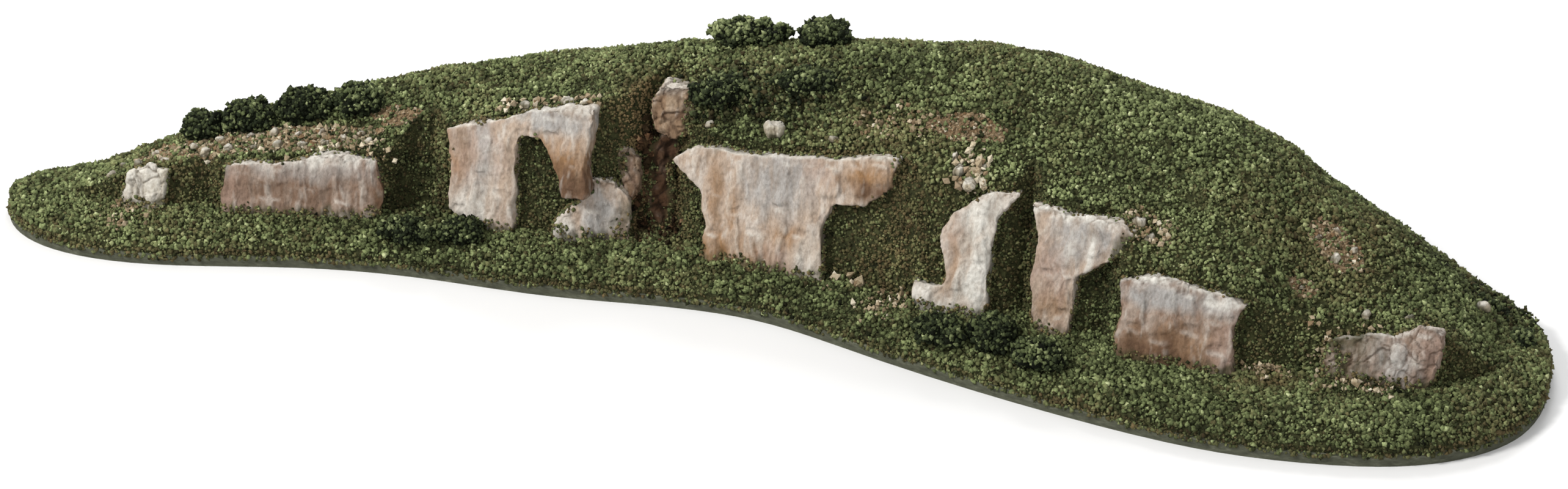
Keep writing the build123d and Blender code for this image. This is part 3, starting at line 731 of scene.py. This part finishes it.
for number, (name, (material, chunky, washes)) in enumerate(ROCKS.items()):
    slot_name = "red_rock" if name.startswith("rock_gully") else "rock"
    seed = 100 * number + 11
    face = weathered(
        name.replace("rock_", "cast_"), [name], ROCK_VOXEL, ROCK_SMOOTHING, chunky, material, washes,
        seed,
    )
    creeping_turf(name.replace("rock_", "lap_"), face, seed + 7)

for number, name in enumerate(sorted(n for n in nodes if n.startswith("stones_"))):
    weathered(
        "loose_" + name, [name], STONE_VOXEL, STONE_SMOOTHING, 0.9, loose_rock, [],
        3000 + 50 * number,
    )


# ---------------------------------------------------------------- bare ground

def grains(name, node_name, per_mm2, size_low, size_high, look, green, bright=0.0):
    """Grit over a bare patch, with some turf crumbs straying onto it."""
    points, tris = arrays(nodes[node_name].data)
    count = int(area_of(points, tris, upward) * per_mm2)
    spots, normals = scatter(points, tris, count, upward)
    sizes = size_low + (size_high - size_low) * rng.random(count) ** 2.2
    tones = np.clip(0.42 + bright + rng.normal(0, 0.24, count), 0, 1)
    dry = np.clip(rng.normal(0.3, 0.35, count), 0, 1)
    spots = spots + normals * sizes[:, None] * 0.3
    place(crumbs(name, spots, sizes, tones, look, smooth=False, dry=dry), [])
    spots, normals = scatter(points, tris, int(area_of(points, tris, upward) * green), upward)
    sizes = rng.uniform(0.3, 0.75, len(spots))
    tones = np.clip(0.42 + rng.normal(0, 0.18, len(spots)), 0, 1)
    spots = spots + normals * sizes[:, None] * 0.4
    place(crumbs(name + "_turf", spots, sizes, tones, turf_look), [])


grains("rubble_grit", "ledge_rubble_bed", 2.2, 0.22, 0.95, sand_look, 0.9, 0.05)
grains("soil_grit_left", "soil_patch_left", 2.6, 0.2, 0.6, sand_look, 0.7, -0.05)
grains("soil_grit_centre", "soil_patch_centre", 2.6, 0.2, 0.65, sand_look, 0.6)
grains("gravel_grit_right", "gravel_patch_right", 2.6, 0.2, 0.75, sand_look, 0.8)
grains("gravel_grit_small", "gravel_patch_small", 2.6, 0.2, 0.7, sand_look, 0.7)


def drift(name, node_name, share, reach, thick, size_low, size_high, look, slot_name, seed, bright=0.0):
    """Grit or leaf crumbs strewn over the turf round a spot, thinning out from its middle.
    The spot is a share of a piece's own box; its reach is in mm along each axis."""
    low, high = (np.array(corner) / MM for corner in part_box(node_name))
    away = (turf_spots - (low + np.array(share) * (high - low))) / reach
    near = np.clip(1.15 - np.linalg.norm(away, axis=1) + 0.7 * layered(turf_spots, 4.0, seed, 2), 0, 1)
    chosen = np.flatnonzero(rng.random(len(near)) < near * thick)
    count = len(chosen)
    sizes = size_low + (size_high - size_low) * rng.random(count) ** 2.0
    spots = turf_spots[chosen] + rng.normal(0, 0.35, (count, 3))
    spots += turf_normals[chosen] * (0.45 + sizes * 0.4)[:, None]
    tones = np.clip(0.45 + bright + rng.normal(0, 0.22, count), 0, 1)
    dry = np.clip(rng.normal(0.15, 0.25, count), 0, 0.7)
    place(crumbs(name, spots, sizes, tones, look, smooth=look is bush_look, dry=dry), [])


# Where grit or leaves lie: name, the piece they lie by, share of its box, reach, how
# thickly, smallest and largest radius, look, slot, how much lighter.
DRIFTS = [
    (
        "rust_grit_scree", "rock_gully_scree", (0.3, 0.5, 0.8), (5, 9, 7),
        0.9, 0.4, 1.5, rust_look, "red_rock", 0.0,
    ),
    (
        "rust_grit_low", "rock_gully_scree", (0.3, 0.1, 0.1), (7, 9, 12),
        0.6, 0.4, 1.2, rust_look, "red_rock", -0.15,
    ),
    (
        "rust_grit_stub", "rock_gully_stub", (0.8, 0.6, 0.5), (4, 8, 9),
        0.8, 0.4, 1.4, rust_look, "red_rock", 0.12,
    ),
    (
        "sand_low_face", "rock_low_face", (1.15, 0.3, 0.1), (8, 6, 6),
        0.8, 0.3, 0.8, sand_look, "gravel", 0.0,
    ),
    (
        "sand_tapered_side", "stones_tapered_side", (0.5, 0.4, 0.5), (6, 6, 6),
        0.7, 0.3, 0.9, sand_look, "gravel", 0.05,
    ),
    (
        "sand_main_foot", "rock_main_face", (0.8, 0.1, 0.0), (7, 6, 6),
        0.5, 0.4, 1.5, sand_look, "gravel", 0.15,
    ),
    (
        "sand_notch_foot", "rock_hook_face", (-0.3, 0.2, 0.1), (8, 6, 6),
        0.35, 0.3, 0.9, sand_look, "gravel", 0.0,
    ),
    (
        "sand_end_crag", "rock_end_crag", (0.3, 0.3, 0.5), (12, 8, 10),
        0.8, 0.3, 1.1, sand_look, "gravel", 0.08,
    ),
    (
        "sand_low_tip", "rock_low_tip", (0.3, 0.1, 0.2), (8, 6, 8),
        0.4, 0.3, 0.9, sand_look, "gravel", 0.05,
    ),
    (
        "grit_pillar_top", "stones_pillar_top", (0.4, 0.4, 0.4), (16, 2.6, 5),
        0.6, 0.3, 1.1, sand_look, "gravel", 0.2,
    ),
    (
        "grit_ledge_top", "rock_left_ledge", (0.5, 0.8, 1.0), (24, 5, 5),
        0.6, 0.3, 1.2, sand_look, "gravel", 0.2,
    ),
    (
        "grit_soil_centre", "soil_patch_centre", (-0.3, 0.4, 0.5), (16, 5, 6),
        0.35, 0.3, 0.8, sand_look, "soil", -0.1,
    ),
    (
        "grit_hook_top", "stones_hook_top", (0.5, 0.5, 0.5), (5, 6, 6),
        0.5, 0.4, 1.3, sand_look, "gravel", 0.15,
    ),
    (
        "bush_hillside", "foliage_hillside_left", (1.0, 0.6, 0.5), (24, 9, 8),
        0.8, 0.45, 1.0, bush_look, "foliage_dark", -0.1,
    ),
    (
        "bush_crease", "foliage_right_edge_1", (0.3, 0.8, 0.5), (11, 8, 12),
        0.5, 0.4, 0.9, bush_look, "foliage_dark", -0.05,
    ),
]
for number, (name, by, share, reach, thick, small, large, look, slot_name, bright) in enumerate(DRIFTS):
    drift(name, by, share, reach, thick, small, large, look, slot_name, 21 + number, bright)


def board_fringe():
    """Turf that hangs a little way down over the board's edge."""
    points, tris = arrays(nodes["base_board"].data)
    top = points[:, 2].max()
    keep = lambda normals, spots: (normals[:, 2] < 0.9) * (normals[:, 2] > -0.5)
    count = int(area_of(points, tris, keep) * 2.4)
    spots, normals = scatter(points, tris, count, keep)
    hang = 0.9 + 0.9 * layered(spots, 7.0, 91, 3)
    chosen = top - spots[:, 2] < np.maximum(hang, 0.25)
    spots, normals = spots[chosen], normals[chosen]
    count = len(spots)
    sizes = rng.uniform(0.32, 0.8, count)
    # Painted shade: fringe crumbs are made darker the lower they hang down the board's edge.
    tones = np.clip(0.42 + rng.normal(0, 0.15, count) - 0.1 * (top - spots[:, 2]), 0, 1)
    dry = np.clip(rng.normal(0.15, 0.2, count), 0, 0.8)
    place(crumbs("turf_fringe", spots, sizes, tones, turf_look, dry=dry), [])


board_fringe()


# ---------------------------------------------------------------- foliage

# How much lighter some bushes are than the rest.
LIGHT = {
    "foliage_crest_light": 0.2, "foliage_left_crest_4": 0.1,
    "foliage_tapered_foot": 0.12, "foliage_hook_foot": 0.05,
}
for number, name in enumerate(sorted(n for n in nodes if n.startswith("foliage_"))):
    seed = 7000 + 40 * number
    slot_name = next(s["material_slot"] for s in frame["record"]["subparts"] if s["node"] == name)
    points, tris = solid_grid([name], BUSH_VOXEL)
    normals = point_normals(points, tris)
    border, own = cells(points, 2.4, seed)
    move = 0.9 * (own - 0.4) - 0.9 * np.clip(1 - border / 0.25, 0, 1)
    move = move + 0.5 * layered(points, 1.6, seed + 5, 2)
    shaped = points + normals * move[:, None]
    # Painted shade: the middle of each bush gets a near-black tone, standing for the shade deep inside the
    # clump.
    core = new_object(name + "_core", shaped, tris, bush_look, values={"tone": np.full(len(points), 0.08)})
    place(core, [name])
    keep = lambda n, s: n[:, 2] > -0.35
    count = int(area_of(shaped, tris, keep) * 1.7)
    spots, facing = scatter(shaped, tris, count, keep)
    sizes = rng.uniform(0.32, 0.85, count)
    # Painted highlight: leaf crumbs facing upward are made lighter and those facing down darker (the facing
    # term).
    tones = 0.32 + LIGHT.get(name, 0.0) + 0.2 * facing[:, 2] + 0.2 * layered(spots, 4.0, seed + 9, 2)
    tones += rng.normal(0, 0.15, count)
    spots = spots + facing * sizes[:, None] * 0.4
    leaves = crumbs(name + "_leaves", spots, sizes, np.clip(tones, 0, 1), bush_look)
    place(leaves, [name])


# ---------------------------------------------------------------- floor, light, camera

floor_look = Look("pale_floor")
sweep = floor_look.grain(60.0, 2)
floor_look.done(floor_look.ramp(sweep, [(0.0, (0.68, 0.68, 0.68)), (1.0, (0.71, 0.71, 0.71))]), 0.9)
floor = new_object(
    "floor", np.array([(-4000, -4000, 0), (4000, -4000, 0), (4000, 4000, 0), (-4000, 4000, 0)], float),
    np.array([(0, 1, 2), (0, 2, 3)]), floor_look.mat,
)


def lamp(name, spot, aim, size, power, colour=(1, 1, 1)):
    data = bpy.data.lights.new(name, "AREA")
    data.shape = "DISK"
    data.size = size
    data.energy = power
    data.color = colour
    thing = bpy.data.objects.new(name, data)
    thing.location = spot
    thing.rotation_euler = (Vector(aim) - Vector(spot)).to_track_quat("-Z", "Y").to_euler()
    bpy.context.scene.collection.objects.link(thing)


lamp("key", (-0.90, -0.62, 1.05), (0, 0, 0.02), 0.45, 24, (1.0, 0.985, 0.96))
lamp("back", (-0.10, 1.00, 0.80), (0, 0, 0.02), 0.60, 13)
lamp("fill", (0.6, -1.2, 0.8), (0, 0, 0.02), 1.0, 7)

world = bpy.data.worlds.new("studio")
world.use_nodes = True
world.node_tree.nodes["Background"].inputs[0].default_value = (1, 1, 1, 1)
world.node_tree.nodes["Background"].inputs[1].default_value = 0.56
bpy.context.scene.world = world
bpy.context.scene.view_settings.view_transform = "Standard"

azimuth, elevation, distance = math.radians(14), math.radians(29), 1.15
target = Vector((0.0015, 0, 0))
level = math.cos(elevation)
back = Vector((math.sin(azimuth) * level, -math.cos(azimuth) * level, math.sin(elevation)))
camera_data = bpy.data.cameras.new("camera")
camera_data.sensor_width = 36
camera_data.lens = 102.4
camera = bpy.data.objects.new("camera", camera_data)
camera.location = target + back * distance
camera.rotation_euler = back.to_track_quat("Z", "Y").to_euler()
bpy.context.scene.collection.objects.link(camera)
bpy.context.scene.camera = camera
